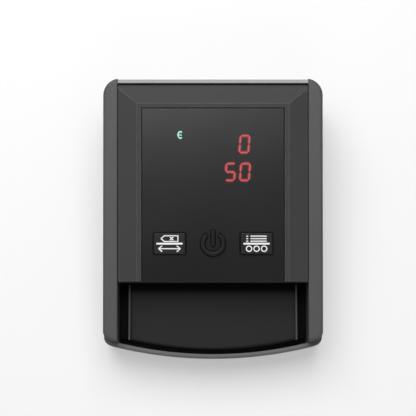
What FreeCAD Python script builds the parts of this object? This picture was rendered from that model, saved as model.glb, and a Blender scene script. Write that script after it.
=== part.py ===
"""Desktop banknote detector and counter: a wedge-shaped case with an open note tray at the front,
a rear-hinged lid that carries the display and keys, and belt-driven feed rollers under the note bed.
Millimetres, +Z up, front towards -Y, origin on the table under the middle of the case."""

import FreeCAD
import Part

import math
import os

from FreeCAD import Vector

# Case outline
CASE_WIDTH = 124.0
CASE_DEPTH = 156.0
REAR_CORNER_RADIUS = 9.5
FRONT_CORNER_RADIUS = 5.0
FRONT_ARC_SAG = 8.0
CASE_WALL = 2.2
FOOT_HEIGHT = 1.5
RAIL_WIDTH = 8.3
RAIL_STEP = 0.2
CHEEK_WALL = 1.8
RAIL_EDGE_RADIUS = 1.6

# Sloping top and rear wall
TOP_SLOPE_DEG = 7.0
REAR_PANEL_THICKNESS = 2.4
REAR_PANEL_CHAMFER = 1.9
REAR_PANEL_INSET = 0.5
REAR_PANEL_DROP = 0.4
SEAM_GAP = 0.5

# Note path
BED_THICKNESS = 2.0
GUTTER_WIDTH = 5.7
FENCE_THICKNESS = 1.0
FENCE_HEIGHT = 3.5
FENCE_UNDER_LID = 1.0
SKIRT_THICKNESS = 2.0
SKIRT_DEPTH = 16.0
GUTTER_DEPTH = 10.0
GUTTER_THICKNESS = 2.0
PATH_GAP = 2.0
MOUTH_HEIGHT = 8.0
MOUTH_FLARE = 1.6
FRONT_LIP_RISE = 2.0
FRONT_LEDGE = 2.8
FRONT_TROUGH = 2.6
BED_NOSE_RADIUS = 1.7
EXIT_SLOT_HEIGHT = 8.0
EXIT_SLOT_DROP = 1.0
LEDGE_WIDTH = 5.3
LEDGE_LENGTH = 12.0
LEDGE_HEIGHT = 4.5

# Lid
LID_FRONT_Y = -35.8
LID_WALL = 2.0
LID_TOP_WALL = 1.7
HINGE_RADIUS = 2.7
HINGE_INSET = 3.2
HINGE_PIN_RADIUS = 1.5
HINGE_PIN_IN_LID = 6.0
HINGE_PIN_IN_CASE = 3.6
HINGE_PIN_END_GAP = 0.3
LID_REAR_SETBACK = 5.9
BEVEL_WIDTH = 10.7
REAR_BEVEL_WIDTH = 11.3
PLATEAU_RISE = 2.6
RIM_WIDTH = 2.7
PANEL_RECESS = 0.6
PANEL_THICKNESS = 1.5
PANEL_GAP = 0.5
GUIDE_THICKNESS = 2.0
GUIDE_GAP = 0.2

# Keys on the lid, along the slope
KEY_ROW_Y = -14.6
KEY_SIDE_MARGIN = 6.5
KEY_WIDTH = 18.0
KEY_LENGTH = 12.0
KEY_CORNER = 1.0
KEY_PROUD = 2.0
KEY_TRAVEL = 0.8
KEY_CLEARANCE = 0.3
KEY_FLANGE = 1.0
KEY_DEPTH = 6.0
KEY_EDGE_RADIUS = 0.4
KEY_FLANGE_GAP = 0.2
POWER_RING_RADIUS = 6.9
POWER_RING_STROKE = 2.2
POWER_RING_GAP_DEG = 70.0
POWER_BAR_WIDTH = 2.0
POWER_BAR_LENGTH = 9.0
POWER_BAR_TOP = 7.4
POWER_STEM_RADIUS = 2.5

# Display
BOARD_THICKNESS = 1.6
BOARD_DEPTH_UNDER_PANEL = 8.5
DIGIT_BLOCK_WIDTH = 30.0
DIGIT_BLOCK_LENGTH = 13.0
DIGIT_SIDE_MARGIN = 9.8
DIGIT_ROWS_Y = (41.0, 25.1)
INDICATOR_INSET = 21.6
INDICATOR_Y = 46.1
INDICATOR_SIZE = 5.0
LAMP_GAP = 0.1
LAMP_HOLE_GAP = 0.3
BOARD_SIDE_MARGIN = 1.8
BOARD_END_MARGIN = 8.0
SPACER_RADIUS = 1.6
SPACER_INSET = 1.6
SPACER_END_INSET = 3.0
SWITCH_SIZE = 6.0
SWITCH_HEIGHT = 1.6
PLUNGER_RADIUS = 1.6
PLUNGER_GAP = 0.1

# Drive train
FEED_SHAFT_Y = -12.0
EXIT_SHAFT_Y = 48.0
ROLLER_RADIUS = 8.5
ROLLER_WIDTH = 14.0
ROLLER_TO_BLOCK = 12.0
ROLLER_PROUD = 0.5
GROOVE_PITCH = 3.5
GROOVE_WIDTH = 0.8
GROOVE_DEPTH = 0.6
SHAFT_RADIUS = 2.5
SHAFT_CLEARANCE = 0.05
BUSH_RADIUS = 4.0
BUSH_LENGTH = 3.6
PULLEY_RADIUS = 4.2
PULLEY_WIDTH = 5.0
PULLEY_FLANGE = 0.8
PULLEY_FLANGE_WIDTH = 1.0
MOTOR_PULLEY_RADIUS = 2.8
BELT_THICKNESS = 1.0
BELT_CLEARANCE = 0.3
BELT_SIDE_GAP = 0.5
MOTOR_BELT_X = 6.5
SHAFT_BELT_INSET = 8.5
PINCH_RADIUS = 5.0
PINCH_WIDTH = 11.0
PINCH_AXLE_RADIUS = 1.5
PINCH_GAP = 0.35
PINCH_BLOCK_INSET = 11.0
PINCH_BOARD_GAP = 0.56
PINCH_BLOCK_WIDTH = 4.0
PINCH_BLOCK_LENGTH = 8.0
PINCH_BLOCK_RISE = 3.2
PINCH_AXLE_END = 3.0
PINCH_CHAMFER = 0.5
LEAF_THICKNESS = 0.5
LEAF_WIDTH = 5.0
LEAF_SEAT = 1.5
LEAF_REACH = 7.0
WINDOW_CLEARANCE = 0.8
ENCODER_RADIUS = 5.2
ENCODER_THICKNESS = 0.8
ENCODER_INSET = 9.0
ENCODER_SLOTS = 12
ENCODER_SLOT_WIDTH = 0.8
ENCODER_SLOT_DEPTH = 1.4
GATE_WIDTH = 7.0
GATE_LENGTH = 6.0
GATE_SLOT = 2.4
GATE_GAP = 0.6

# Motor
MOTOR_Y = 12.0
MOTOR_RADIUS = 10.2
MOTOR_FLAT = 15.4
MOTOR_LENGTH = 32.0
MOTOR_FRONT_X = -3.0
MOTOR_SHAFT_RADIUS = 1.0
MOTOR_BOSS_RADIUS = 3.0
MOTOR_LIFT = 1.5
MOTOR_BED_GAP = 1.6
MOTOR_END_WALL = 3.0
MOTOR_SHAFT_PLAY = 1.0
BRACKET_THICKNESS = 1.5
BRACKET_WIDTH = 24.0
BRACKET_RISE = 5.0
BRACKET_FOOT_LENGTH = 6.0
BRACKET_FOOT_WIDTH = 4.0
BOTTOM_COVER_THICKNESS = 2.0
BOTTOM_COVER_GAP = 0.3
VENT_COUNT = 7
VENT_PITCH = 5.0
VENT_LENGTH = 36.0
VENT_WIDTH = 2.0

# Control board under the tray
CONTROL_WIDTH = 72.0
CONTROL_LENGTH = 38.0
CONTROL_FRONT = 14.0
CONTROL_LEG_HEIGHT = 3.0
CONTROL_LEG_RADIUS = 2.5
CONTROL_LEG_INSET = 4.0
CHIP_SIZE = 16.0
CHIP_HEIGHT = 1.6
HEADER_X = 24.0
HEADER_WIDTH = 16.0
HEADER_LENGTH = 6.0
HEADER_HEIGHT = 6.0
CAPACITOR_RADIUS = 4.0
CAPACITOR_HEIGHT = 8.0
CAPACITOR_X = -28.0
CAPACITOR_PITCH = 10.0

# Sensors
SENSOR_Y = 34.0
SENSOR_LENGTH = 8.0
SENSOR_BELT_GAP = 3.0
WINDOW_THICKNESS = 1.5
WINDOW_GAP = 0.05
WINDOW_SINK = 0.1
SENSOR_EDGE_RADIUS = 0.6
LOWER_SENSOR_HEIGHT = 10.5
UPPER_SENSOR_HEIGHT = 7.0
HEAD_RADIUS = 3.0
HEAD_HEIGHT = 6.0
HEAD_Y = 10.0

# Fasteners
SCREW_RADIUS = 1.4
SCREW_HEAD_RADIUS = 2.6
SCREW_HEAD_HEIGHT = 1.4
SCREW_LENGTH = 7.0
SCREW_CLEARANCE = 0.2
SCREW_DRIVE_LENGTH = 3.6
SCREW_DRIVE_WIDTH = 0.6
SCREW_DRIVE_DEPTH = 0.7
SCREW_HOLE_EXTRA = 1.0
BOSS_RADIUS = 3.6
BOSS_RIB = 3.0
BOTTOM_SCREW_INSET = 1.7
BOTTOM_SCREW_FRONT = 26.0
BOTTOM_SCREW_REAR = 16.0
BED_SCREW_INSET = 3.0
BED_SCREWS_Y = (-22.0, 58.0)
LID_SCREW_INSET = 5.7
LID_SCREW_FRONT = 20.5
LID_SCREW_REAR = 6.0
FOOT_RADIUS = 5.5
FOOT_SINK = 0.5
FOOT_EDGE_RADIUS = 0.5
FOOT_INSET = 22.0
FOOT_FRONT = 26.0
FOOT_REAR = 14.0

# Rear sockets
JACK_INSET = 10.7
JACK_ABOVE_SLOT = 9.0
JACK_RADIUS = 4.0
JACK_BORE = 2.75
JACK_PIN_RADIUS = 1.0
JACK_DEPTH = 9.0
JACK_FLOOR = 1.5
JACK_FLANGE_RADIUS = 5.4
CARD_INSET = 17.7
CARD_ABOVE_SLOT = 8.0
CARD_WIDTH = 15.0
CARD_HEIGHT = 4.6
CARD_DEPTH = 5.0
CARD_FLOOR = 1.5
CARD_SINK = 0.3
CARD_SLOT = 1.6
CARD_SIDE = 1.2

HALF_W = CASE_WIDTH / 2
HALF_D = CASE_DEPTH / 2
SLOPE = math.radians(TOP_SLOPE_DEG)
TOP_REF_Y = HALF_D - REAR_PANEL_CHAMFER
CHANNEL_HALF = HALF_W - RAIL_WIDTH
LID_HALF = CHANNEL_HALF - SEAM_GAP
REAR_FACE_Y = HALF_D - REAR_PANEL_INSET
REAR_PANEL_Y = REAR_FACE_Y - REAR_PANEL_THICKNESS
FLOOR_TOP = FOOT_HEIGHT + BOTTOM_COVER_THICKNESS
MOTOR_Z = FLOOR_TOP + MOTOR_LIFT + MOTOR_FLAT / 2
BED_BOTTOM = MOTOR_Z + MOTOR_FLAT / 2 + MOTOR_BED_GAP
BED_HEIGHT = BED_BOTTOM + BED_THICKNESS
BED_HALF = CHANNEL_HALF - GUTTER_WIDTH - FENCE_THICKNESS
SKIRT_BOTTOM = BED_HEIGHT - SKIRT_DEPTH
GUTTER_FLOOR = BED_HEIGHT - GUTTER_DEPTH
FRONT_LIP_HEIGHT = BED_HEIGHT + FRONT_LIP_RISE
EXIT_SLOT_Z = BED_HEIGHT - EXIT_SLOT_DROP
SHAFT_Z = BED_HEIGHT + ROLLER_PROUD - ROLLER_RADIUS
PINCH_Z = BED_HEIGHT + ROLLER_PROUD + PINCH_GAP + PINCH_RADIUS
GUIDE_Z = BED_HEIGHT + PATH_GAP
SHAFT_HALF = BED_HALF - FENCE_THICKNESS
HINGE_Y = REAR_PANEL_Y - HINGE_INSET
LID_REAR_WALL_Y = HINGE_Y - LID_REAR_SETBACK
GUIDE_TOP = GUIDE_Z + GUIDE_THICKNESS
LOWER_WINDOW_Z = BED_HEIGHT - WINDOW_THICKNESS
UPPER_WINDOW_Z = GUIDE_Z + WINDOW_THICKNESS
PINCH_BLOCK_TOP = PINCH_Z + PINCH_BLOCK_RISE
MOUTH_START_Y = LID_FRONT_Y + MOUTH_FLARE * MOUTH_HEIGHT
FENCE_OUTER = BED_HALF + FENCE_THICKNESS
LEDGE_TOP = GUTTER_FLOOR - GUTTER_THICKNESS
BOTTOM_BOSS_TOP = FLOOR_TOP + SCREW_LENGTH + SCREW_HOLE_EXTRA
SHAFTS_Y = (FEED_SHAFT_Y, EXIT_SHAFT_Y)
CONTROL_FRONT_Y = CONTROL_FRONT - HALF_D
CONTROL_REAR_Y = CONTROL_FRONT_Y + CONTROL_LENGTH
PINCH_BLOCK_X = BED_HALF - PINCH_BLOCK_INSET
ROLLER_X = PINCH_BLOCK_X - ROLLER_TO_BLOCK
SHAFT_BELT_X = BED_HALF - SHAFT_BELT_INSET
SENSOR_HALF = SHAFT_BELT_X - PULLEY_WIDTH / 2 - SENSOR_BELT_GAP
ENCODER_X = ENCODER_INSET - BED_HALF
JACK_X = CHANNEL_HALF - JACK_INSET
JACK_Z = EXIT_SLOT_Z + EXIT_SLOT_HEIGHT + JACK_ABOVE_SLOT
CARD_X = CARD_INSET - CHANNEL_HALF
CARD_Z = EXIT_SLOT_Z + EXIT_SLOT_HEIGHT + CARD_ABOVE_SLOT
PANEL_TOP_W = PLATEAU_RISE - PANEL_RECESS
PANEL_BOTTOM_W = PANEL_TOP_W - PANEL_THICKNESS
LID_INSIDE_W = PANEL_BOTTOM_W - LID_TOP_WALL
BOARD_TOP_W = PANEL_TOP_W - BOARD_DEPTH_UNDER_PANEL
LAMP_TOP_W = PANEL_BOTTOM_W - LAMP_GAP
KEY_TOP_W = PANEL_TOP_W + KEY_PROUD
KEY_BOTTOM_W = KEY_TOP_W - KEY_DEPTH - KEY_TRAVEL
FLANGE_TOP_W = LID_INSIDE_W - KEY_FLANGE_GAP
FLANGE_BOTTOM_W = FLANGE_TOP_W - KEY_FLANGE
PLATEAU_HALF = LID_HALF - BEVEL_WIDTH
PANEL_HALF = PLATEAU_HALF - RIM_WIDTH
KEY_SPACING = PANEL_HALF - KEY_SIDE_MARGIN - KEY_WIDTH / 2
DIGIT_BLOCK_X = PANEL_HALF - DIGIT_SIDE_MARGIN - DIGIT_BLOCK_WIDTH / 2
INDICATOR_X = INDICATOR_INSET - PANEL_HALF
PLATEAU_REAR_Y = HINGE_Y + HINGE_RADIUS - REAR_BEVEL_WIDTH
PANEL_REAR_Y = PLATEAU_REAR_Y - RIM_WIDTH
BOARD_UNDER_Z = PINCH_Z + PINCH_RADIUS + PINCH_BOARD_GAP
BOARD_UNDER_W = BOARD_TOP_W - BOARD_THICKNESS
PINCH_FRONT_Y = FEED_SHAFT_Y - PINCH_RADIUS
TOP_OVER_PINCH = BOARD_UNDER_Z - BOARD_UNDER_W / math.cos(SLOPE)
REAR_TOP_HEIGHT = TOP_OVER_PINCH + (TOP_REF_Y - PINCH_FRONT_Y) * math.tan(SLOPE)
TALL = 200.0


def rail_top(y):
    """Height of the sloping top plane of the rails at y."""
    return REAR_TOP_HEIGHT - (TOP_REF_Y - y) * math.tan(SLOPE)


def four_points(half_x, front_y, rear_y):
    """Two points on each side of the middle, at the front and the rear."""
    return [(side * half_x, y) for side in (-1, 1) for y in (front_y, rear_y)]


HINGE_Z = rail_top(HINGE_Y) - HINGE_RADIUS
BOTTOM_SCREWS = four_points(
    CHANNEL_HALF - BOTTOM_SCREW_INSET, BOTTOM_SCREW_FRONT - HALF_D, HALF_D - BOTTOM_SCREW_REAR
)
BED_SCREWS = four_points(CHANNEL_HALF - BED_SCREW_INSET, *BED_SCREWS_Y)
LID_SCREWS = four_points(
    LID_HALF - LID_SCREW_INSET, LID_FRONT_Y + LID_SCREW_FRONT, LID_REAR_WALL_Y - LID_SCREW_REAR
)
FEET = four_points(HALF_W - FOOT_INSET, FOOT_FRONT - HALF_D, HALF_D - FOOT_REAR)


def box(x0, x1, y0, y1, z0, z1):
    return Part.makeBox(x1 - x0, y1 - y0, z1 - z0, Vector(x0, y0, z0))


def rod(radius, x0, x1, y, z):
    """A round bar along X."""
    return Part.makeCylinder(radius, x1 - x0, Vector(x0, y, z), Vector(1, 0, 0))


def post(radius, x, y, z0, z1):
    """A round bar along Z."""
    return Part.makeCylinder(radius, z1 - z0, Vector(x, y, z0))


def prism_yz(points, x0, x1):
    """A side profile of (y, z) points, extruded along X."""
    corners = [Vector(x0, y, z) for y, z in points]
    face = Part.Face(Part.makePolygon(corners + corners[:1]))
    return face.extrude(Vector(x1 - x0, 0, 0))


def prism_xz(points, y0, y1):
    """A front profile of (x, z) points, extruded along Y."""
    corners = [Vector(x, y0, z) for x, z in points]
    face = Part.Face(Part.makePolygon(corners + corners[:1]))
    return face.extrude(Vector(0, y1 - y0, 0))


def fuse(first, *others):
    shape = first.fuse(list(others)) if others else first
    return shape.removeSplitter()


def mirrored(shape):
    return shape.mirror(Vector(0, 0, 0), Vector(1, 0, 0))


def on_slope(shape):
    """Moves a shape built flat, with Z = 0 on the rails' top plane, onto the slope."""
    placed = shape.copy()
    placed.rotate(Vector(0, 0, 0), Vector(1, 0, 0), TOP_SLOPE_DEG)
    placed.translate(Vector(0, TOP_REF_Y, REAR_TOP_HEIGHT))
    return placed


def along(y):
    """Distance along the slope of the point that lies above y."""
    return (y - TOP_REF_Y) / math.cos(SLOPE)


def outline_face(inset, z, setback=0.0):
    """The case outline at height z, moved inwards by inset and back at the front by setback."""
    half = HALF_W - inset
    rear = HALF_D - inset
    tip = -HALF_D + inset + setback
    shoulder = tip + FRONT_ARC_SAG
    corners = [(half, shoulder), (half, rear), (-half, rear), (-half, shoulder)]
    corners = [Vector(x, y, z) for x, y in corners]
    sides = [Part.LineSegment(a, b).toShape() for a, b in zip(corners, corners[1:])]
    front = Part.Arc(corners[3], Vector(0, tip, z), corners[0]).toShape()
    return Part.Face(Part.Wire(sides + [front]))


def outline_block(inset, z0, z1, setback=0.0):
    """The outline extruded from z0 to z1, with its upright corners rounded."""
    block = outline_face(inset, z0, setback).extrude(Vector(0, 0, z1 - z0))
    upright = [e for e in block.Edges if abs(e.tangentAt(e.FirstParameter).z) > 0.99]
    rear = [e for e in upright if e.CenterOfMass.y > 0]
    block = block.makeFillet(REAR_CORNER_RADIUS - inset, rear)
    shoulder = -HALF_D + inset + setback + FRONT_ARC_SAG
    upright = [e for e in block.Edges if abs(e.tangentAt(e.FirstParameter).z) > 0.99]
    front = [e for e in upright if e.CenterOfMass.y < shoulder + 0.01]
    return block.makeFillet(FRONT_CORNER_RADIUS - inset, front)


def above_slope(offset):
    """Everything above the rails' top plane raised by offset."""
    low, high = rail_top(-TALL) + offset, rail_top(TALL) + offset
    return prism_yz([(-TALL, low), (TALL, high), (TALL, 2 * TALL), (-TALL, 2 * TALL)], -TALL, TALL)


def lower_housing():
    """One moulding: outer walls, hollow rails set back behind the front lip, ledges for the note bed."""
    rails = outline_block(RAIL_STEP, FRONT_LIP_HEIGHT, TALL / 2, FRONT_LEDGE)
    shell = fuse(outline_block(0, FOOT_HEIGHT, FRONT_LIP_HEIGHT), rails)
    shell = shell.cut(above_slope(0))
    rims = [e for e in shell.Edges if abs(e.CenterOfMass.z - rail_top(e.CenterOfMass.y)) < 0.6]
    shell = shell.makeFillet(RAIL_EDGE_RADIUS, [e for e in rims if e.Length > 1])
    wall_inside = outline_block(CASE_WALL, -TALL, TALL)
    middle = box(-CHANNEL_HALF, CHANNEL_HALF, -TALL, TALL, -TALL, TALL)
    shell = shell.cut(middle.common(wall_inside))
    shell = shell.cut(box(-CHANNEL_HALF, CHANNEL_HALF, -TALL, 0, FRONT_LIP_HEIGHT, TALL))
    shell = shell.cut(box(-CHANNEL_HALF, CHANNEL_HALF, 0, TALL, 0, TALL))
    cheek = CHANNEL_HALF + CHEEK_WALL
    rail_inside = outline_block(CASE_WALL, -TALL, TALL, FRONT_LEDGE)
    rail_inside = rail_inside.cut(box(-cheek, cheek, -TALL, TALL, -TALL, TALL))
    shell = shell.cut(rail_inside.cut(above_slope(-CASE_WALL)))
    additions = []
    for side in (-1, 1):
        low, high = sorted((side * CHANNEL_HALF, side * (HALF_W - CASE_WALL)))
        reach = 2 * HINGE_RADIUS
        boss = box(low, high, HINGE_Y - reach, HINGE_Y + HINGE_INSET, HINGE_Z - reach, TALL)
        additions.append(boss.cut(above_slope(-CASE_WALL)).common(wall_inside))
        low, high = sorted((side * (CHANNEL_HALF - LEDGE_WIDTH), side * cheek))
        for y in BED_SCREWS_Y:
            half = LEDGE_LENGTH / 2
            additions.append(box(low, high, y - half, y + half, LEDGE_TOP - LEDGE_HEIGHT, LEDGE_TOP))
    for x, y in BOTTOM_SCREWS:
        low, high = sorted((x, math.copysign(CHANNEL_HALF + CHEEK_WALL / 2, x)))
        additions.append(post(BOSS_RADIUS, x, y, FLOOR_TOP, BOTTOM_BOSS_TOP))
        additions.append(box(low, high, y - BOSS_RIB / 2, y + BOSS_RIB / 2, FLOOR_TOP, BOTTOM_BOSS_TOP))
    shell = fuse(shell, *additions)
    shell = shell.cut(wall_inside.common(box(-TALL, TALL, -TALL, TALL, 0, FLOOR_TOP)))
    for side in (-1, 1):
        deep = CHANNEL_HALF + HINGE_PIN_IN_CASE + HINGE_PIN_END_GAP
        low, high = sorted((side * LID_HALF, side * deep))
        shell = shell.cut(rod(HINGE_PIN_RADIUS + SHAFT_CLEARANCE, low, high, HINGE_Y, HINGE_Z))
    for x, y in BOTTOM_SCREWS:
        shell = shell.cut(post(SCREW_RADIUS, x, y, 0, BOTTOM_BOSS_TOP - SCREW_HOLE_EXTRA / 2))
    for x, y in BED_SCREWS:
        shell = shell.cut(post(SCREW_RADIUS, x, y, 0, LEDGE_TOP))
    return shell


def rear_panel():
    """Back wall between the rails: note exit slot, power socket hole and card slot, with a chamfered top."""
    top = REAR_TOP_HEIGHT - REAR_PANEL_DROP
    low = FLOOR_TOP + BOTTOM_COVER_GAP
    profile = [
        (REAR_PANEL_Y, low),
        (REAR_FACE_Y, low),
        (REAR_FACE_Y, top - REAR_PANEL_CHAMFER),
        (REAR_FACE_Y - REAR_PANEL_CHAMFER, top),
        (REAR_PANEL_Y, top),
    ]
    panel = prism_yz(profile, -CHANNEL_HALF, CHANNEL_HALF)
    slot = box(-BED_HALF, BED_HALF, 0, TALL, EXIT_SLOT_Z, EXIT_SLOT_Z + EXIT_SLOT_HEIGHT)
    hole = Part.makeCylinder(JACK_RADIUS, TALL, Vector(JACK_X, 0, JACK_Z), Vector(0, 1, 0))
    half_w, half_h = CARD_WIDTH / 2, CARD_HEIGHT / 2
    card = box(CARD_X - half_w, CARD_X + half_w, 0, TALL, CARD_Z - half_h, CARD_Z + half_h)
    return panel.cut(slot).cut(hole).cut(card)


def dc_jack():
    """Round power socket with its centre pin, let in from outside with a thin flange."""
    back = REAR_PANEL_Y - JACK_DEPTH

    def round_bar(radius, y0, y1):
        return Part.makeCylinder(radius, y1 - y0, Vector(JACK_X, y0, JACK_Z), Vector(0, 1, 0))

    barrel = round_bar(JACK_RADIUS, back, REAR_FACE_Y)
    body = fuse(barrel, round_bar(JACK_FLANGE_RADIUS, REAR_FACE_Y, HALF_D))
    body = body.cut(round_bar(JACK_BORE, back + JACK_FLOOR, TALL))
    return fuse(body, round_bar(JACK_PIN_RADIUS, back, REAR_PANEL_Y))


def card_socket():
    """Slot-in card reader for updates, behind the rear panel."""
    x0, x1 = CARD_X - CARD_WIDTH / 2, CARD_X + CARD_WIDTH / 2
    back = REAR_PANEL_Y - CARD_DEPTH
    body = box(x0, x1, back, REAR_FACE_Y - CARD_SINK, CARD_Z - CARD_HEIGHT / 2, CARD_Z + CARD_HEIGHT / 2)
    slot_low, slot_high = CARD_Z - CARD_SLOT / 2, CARD_Z + CARD_SLOT / 2
    return body.cut(box(x0 + CARD_SIDE, x1 - CARD_SIDE, back + CARD_FLOOR, TALL, slot_low, slot_high))


def bottom_cover():
    """Flat plate that closes the case from below, with vents, countersunk screw holes and foot recesses."""
    plate = outline_block(CASE_WALL + BOTTOM_COVER_GAP, FOOT_HEIGHT, FLOOR_TOP)
    head_radius = SCREW_HEAD_RADIUS + SCREW_CLEARANCE
    for x, y in BOTTOM_SCREWS:
        plate = plate.cut(post(SCREW_RADIUS + SCREW_CLEARANCE, x, y, 0, TALL))
        plate = plate.cut(post(head_radius, x, y, 0, FOOT_HEIGHT + SCREW_HEAD_HEIGHT))
    for x, y in FEET:
        plate = plate.cut(post(FOOT_RADIUS, x, y, 0, FOOT_HEIGHT + FOOT_SINK))
    for i in range(VENT_COUNT):
        y = (i - (VENT_COUNT - 1) / 2) * VENT_PITCH
        half = VENT_WIDTH / 2
        plate = plate.cut(box(-VENT_LENGTH / 2, VENT_LENGTH / 2, y - half, y + half, 0, TALL))
    return plate


def rubber_feet():
    feet = []
    for x, y in FEET:
        foot = post(FOOT_RADIUS, x, y, 0, FOOT_HEIGHT + FOOT_SINK)
        feet.append(foot.makeFillet(FOOT_EDGE_RADIUS, [e for e in foot.Edges if e.CenterOfMass.z < 0.01]))
    return Part.makeCompound(feet)


def screw(x, y, head_z, upward):
    """Pan-head screw standing on Z: its head's bearing face is at head_z, its shank goes up or down."""
    sign = 1 if upward else -1
    low, high = sorted((head_z, head_z + sign * SCREW_LENGTH))
    shank = post(SCREW_RADIUS, x, y, low, high)
    low, high = sorted((head_z, head_z - sign * SCREW_HEAD_HEIGHT))
    head = post(SCREW_HEAD_RADIUS, x, y, low, high)
    face = low if upward else high
    long, wide = SCREW_DRIVE_LENGTH / 2, SCREW_DRIVE_WIDTH / 2
    for half_x, half_y in ((long, wide), (wide, long)):
        low, high = face - SCREW_DRIVE_DEPTH, face + SCREW_DRIVE_DEPTH
        head = head.cut(box(x - half_x, x + half_x, y - half_y, y + half_y, low, high))
    return fuse(shank, head)


def screws(places, head_z, upward):
    return Part.makeCompound([screw(x, y, head_z, upward) for x, y in places])


def note_bed():
    """Moulded note bed: tray floor with two fences, gutters beside them and skirts that carry the shafts."""
    skirt_in = FENCE_OUTER - SKIRT_THICKNESS
    edge = CHANNEL_HALF - SEAM_GAP / 2
    fence_top = BED_HEIGHT + FENCE_HEIGHT
    right = [
        (BED_HALF, BED_HEIGHT), (BED_HALF, fence_top), (FENCE_OUTER, fence_top), (FENCE_OUTER, GUTTER_FLOOR),
        (edge, GUTTER_FLOOR), (edge, LEDGE_TOP), (FENCE_OUTER, LEDGE_TOP), (FENCE_OUTER, SKIRT_BOTTOM),
        (skirt_in, SKIRT_BOTTOM), (skirt_in, BED_BOTTOM),
    ]
    profile = right + [(-x, z) for x, z in reversed(right)]
    bed = prism_xz(profile, -HALF_D, REAR_PANEL_Y - BOTTOM_COVER_GAP)
    front_end = outline_face(CASE_WALL + FRONT_TROUGH, 0).extrude(Vector(0, 0, TALL))
    bed = bed.common(front_end.fuse(box(-HALF_W, HALF_W, 0, HALF_D, 0, TALL)))
    level = [e for e in bed.Edges if abs(e.CenterOfMass.z - BED_HEIGHT) < 0.01]
    nose = [e for e in level if e.CenterOfMass.y < -HALF_D / 2 and e.BoundBox.XLength > 2 * BED_HALF - 1]
    bed = bed.makeFillet(BED_NOSE_RADIUS, nose)
    bed = bed.cut(box(-TALL, TALL, LID_FRONT_Y - SEAM_GAP, TALL, BED_HEIGHT + FENCE_UNDER_LID, TALL))
    reach = math.sqrt(ROLLER_RADIUS**2 - (BED_BOTTOM - SHAFT_Z) ** 2) + WINDOW_CLEARANCE
    half = ROLLER_WIDTH / 2 + WINDOW_CLEARANCE
    skirts = box(-FENCE_OUTER, FENCE_OUTER, -TALL, TALL, 0, BED_BOTTOM)
    for y in SHAFTS_Y:
        for x in (-ROLLER_X, ROLLER_X):
            bed = bed.cut(box(x - half, x + half, y - reach, y + reach, BED_BOTTOM - 1, TALL))
        bed = bed.cut(rod(BUSH_RADIUS, -TALL, TALL, y, SHAFT_Z).common(skirts))
    bed = bed.cut(sensor_space(BED_BOTTOM - 1, TALL))
    for x, y in BED_SCREWS:
        bed = bed.cut(post(SCREW_RADIUS + SCREW_CLEARANCE, x, y, 0, TALL))
    return bed


def sensor_space(z0, z1, gap=0.0):
    """The sensor strip's place across the note path, made smaller by gap all round."""
    half, half_l = SENSOR_HALF - gap, SENSOR_LENGTH / 2 - gap
    return box(-half, half, SENSOR_Y - half_l, SENSOR_Y + half_l, z0, z1)


def sensor_bar(z0, z1):
    bar = sensor_space(z0, z1)
    return bar.makeFillet(SENSOR_EDGE_RADIUS, [e for e in bar.Edges if e.BoundBox.ZLength > z1 - z0 - 0.1])


def sensor_window(z0, z1):
    return sensor_space(z0, z1, WINDOW_GAP)


def shaft(y):
    return rod(SHAFT_RADIUS, -SHAFT_HALF, SHAFT_HALF, y, SHAFT_Z)


def rollers(y):
    """Two rubber tyres on the shaft, with grooves round them for grip."""
    tyres = []
    half, half_groove = ROLLER_WIDTH / 2, GROOVE_WIDTH / 2
    for x in (-ROLLER_X, ROLLER_X):
        tyre = rod(ROLLER_RADIUS, x - half, x + half, y, SHAFT_Z)
        core = rod(ROLLER_RADIUS - GROOVE_DEPTH, x - half, x + half, y, SHAFT_Z)
        for i in (-1, 0, 1):
            middle = x + i * GROOVE_PITCH
            ring = rod(2 * ROLLER_RADIUS, middle - half_groove, middle + half_groove, y, SHAFT_Z)
            tyre = tyre.cut(ring.cut(core))
        tyres.append(tyre.cut(rod(SHAFT_RADIUS, x - half, x + half, y, SHAFT_Z)))
    return Part.makeCompound(tyres)


def pulley(radius, x, y, z, bore):
    """Flat-belt pulley with a flange at each end."""
    half = PULLEY_WIDTH / 2
    end = half + PULLEY_FLANGE_WIDTH
    wheel = rod(radius, x - half, x + half, y, z)
    left = rod(radius + PULLEY_FLANGE, x - end, x - half, y, z)
    right = rod(radius + PULLEY_FLANGE, x + half, x + end, y, z)
    return fuse(wheel, left, right).cut(rod(bore, x - end, x + end, y, z))


def belt_loop(x, y_a, z_a, r_a, y_b, z_b, r_b):
    """Filled outline round two circles, as wide as a belt."""
    span = math.hypot(y_b - y_a, z_b - z_a)
    tilt = math.atan2(z_b - z_a, y_b - y_a)
    lean = math.acos((r_a - r_b) / span)
    half = PULLEY_WIDTH / 2 - BELT_SIDE_GAP

    def rim_a(angle):
        return Vector(x - half, y_a + r_a * math.cos(angle), z_a + r_a * math.sin(angle))

    def rim_b(angle):
        return Vector(x - half, y_b + r_b * math.cos(angle), z_b + r_b * math.sin(angle))

    upper, lower = tilt + lean, tilt - lean
    wire = Part.Wire([
        Part.LineSegment(rim_a(upper), rim_b(upper)).toShape(),
        Part.Arc(rim_b(upper), rim_b(tilt), rim_b(lower)).toShape(),
        Part.LineSegment(rim_b(lower), rim_a(lower)).toShape(),
        Part.Arc(rim_a(lower), rim_a(tilt + math.pi), rim_a(upper)).toShape(),
    ])
    return Part.Face(wire).extrude(Vector(2 * half, 0, 0))


def belt(x, y_a, z_a, r_a, y_b, z_b, r_b):
    """Flat belt that runs just clear of the two pulleys' crowns."""
    near, far = BELT_CLEARANCE, BELT_CLEARANCE + BELT_THICKNESS
    outer = belt_loop(x, y_a, z_a, r_a + far, y_b, z_b, r_b + far)
    return outer.cut(belt_loop(x, y_a, z_a, r_a + near, y_b, z_b, r_b + near))


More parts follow.
